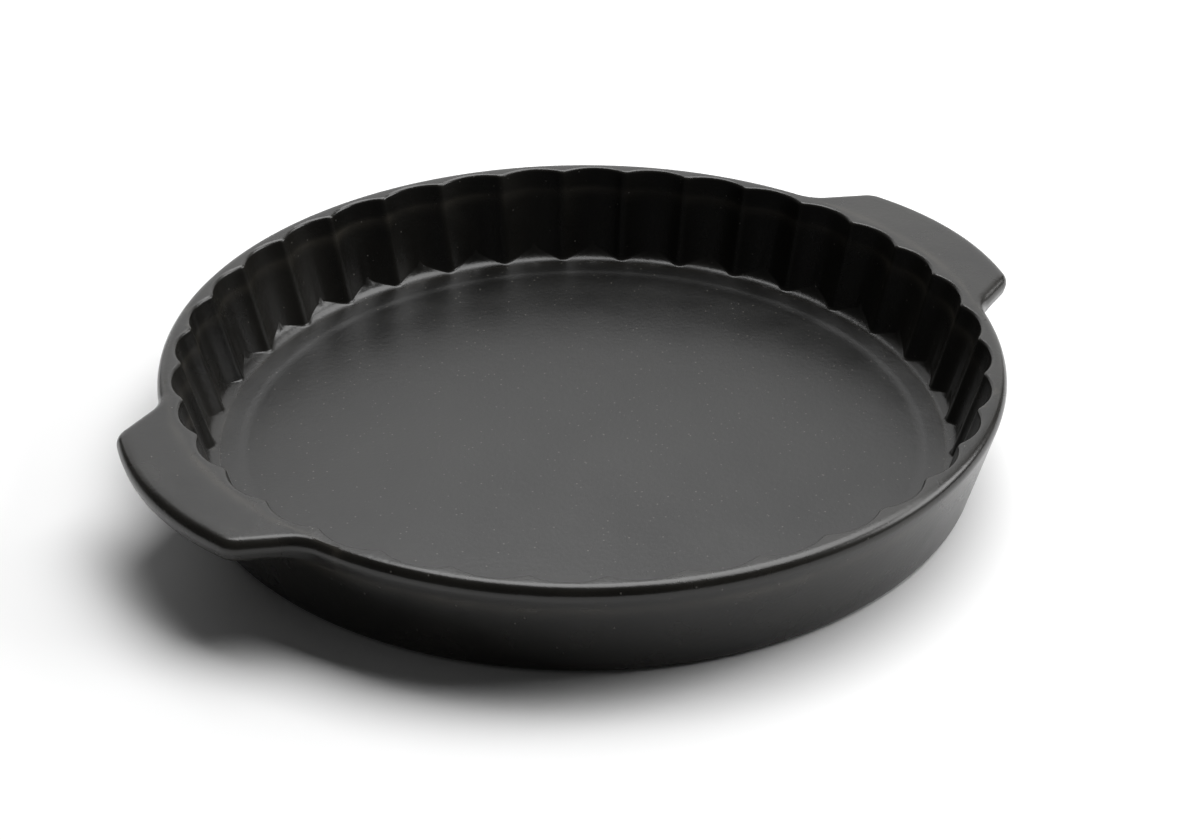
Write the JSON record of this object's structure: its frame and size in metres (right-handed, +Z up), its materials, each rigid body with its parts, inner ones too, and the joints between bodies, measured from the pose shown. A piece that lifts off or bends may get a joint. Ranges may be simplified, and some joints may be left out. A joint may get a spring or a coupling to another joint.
{
  "type": "fluted tart dish",
  "caption": "Round fluted tart or quiche dish in black satin-glazed stoneware, with a flat rim and two flat lug handles.",
  "frame": {"origin": "centre of the resting face under the foot ring", "axes": "+Z up out of the dish, X through both handles, Y across them"},
  "size_m": [0.329, 0.29, 0.038],
  "materials": {
    "glaze": "black satin glaze",
    "bare_clay": "unglazed stoneware, ground flat"
  },
  "bodies": {
    "root": {"floor": "glaze", "fluted_wall": "glaze", "rim": "glaze", "handle_left": "glaze", "handle_right": "glaze", "foot_ring": "bare_clay"}
  },
  "joints": []
}
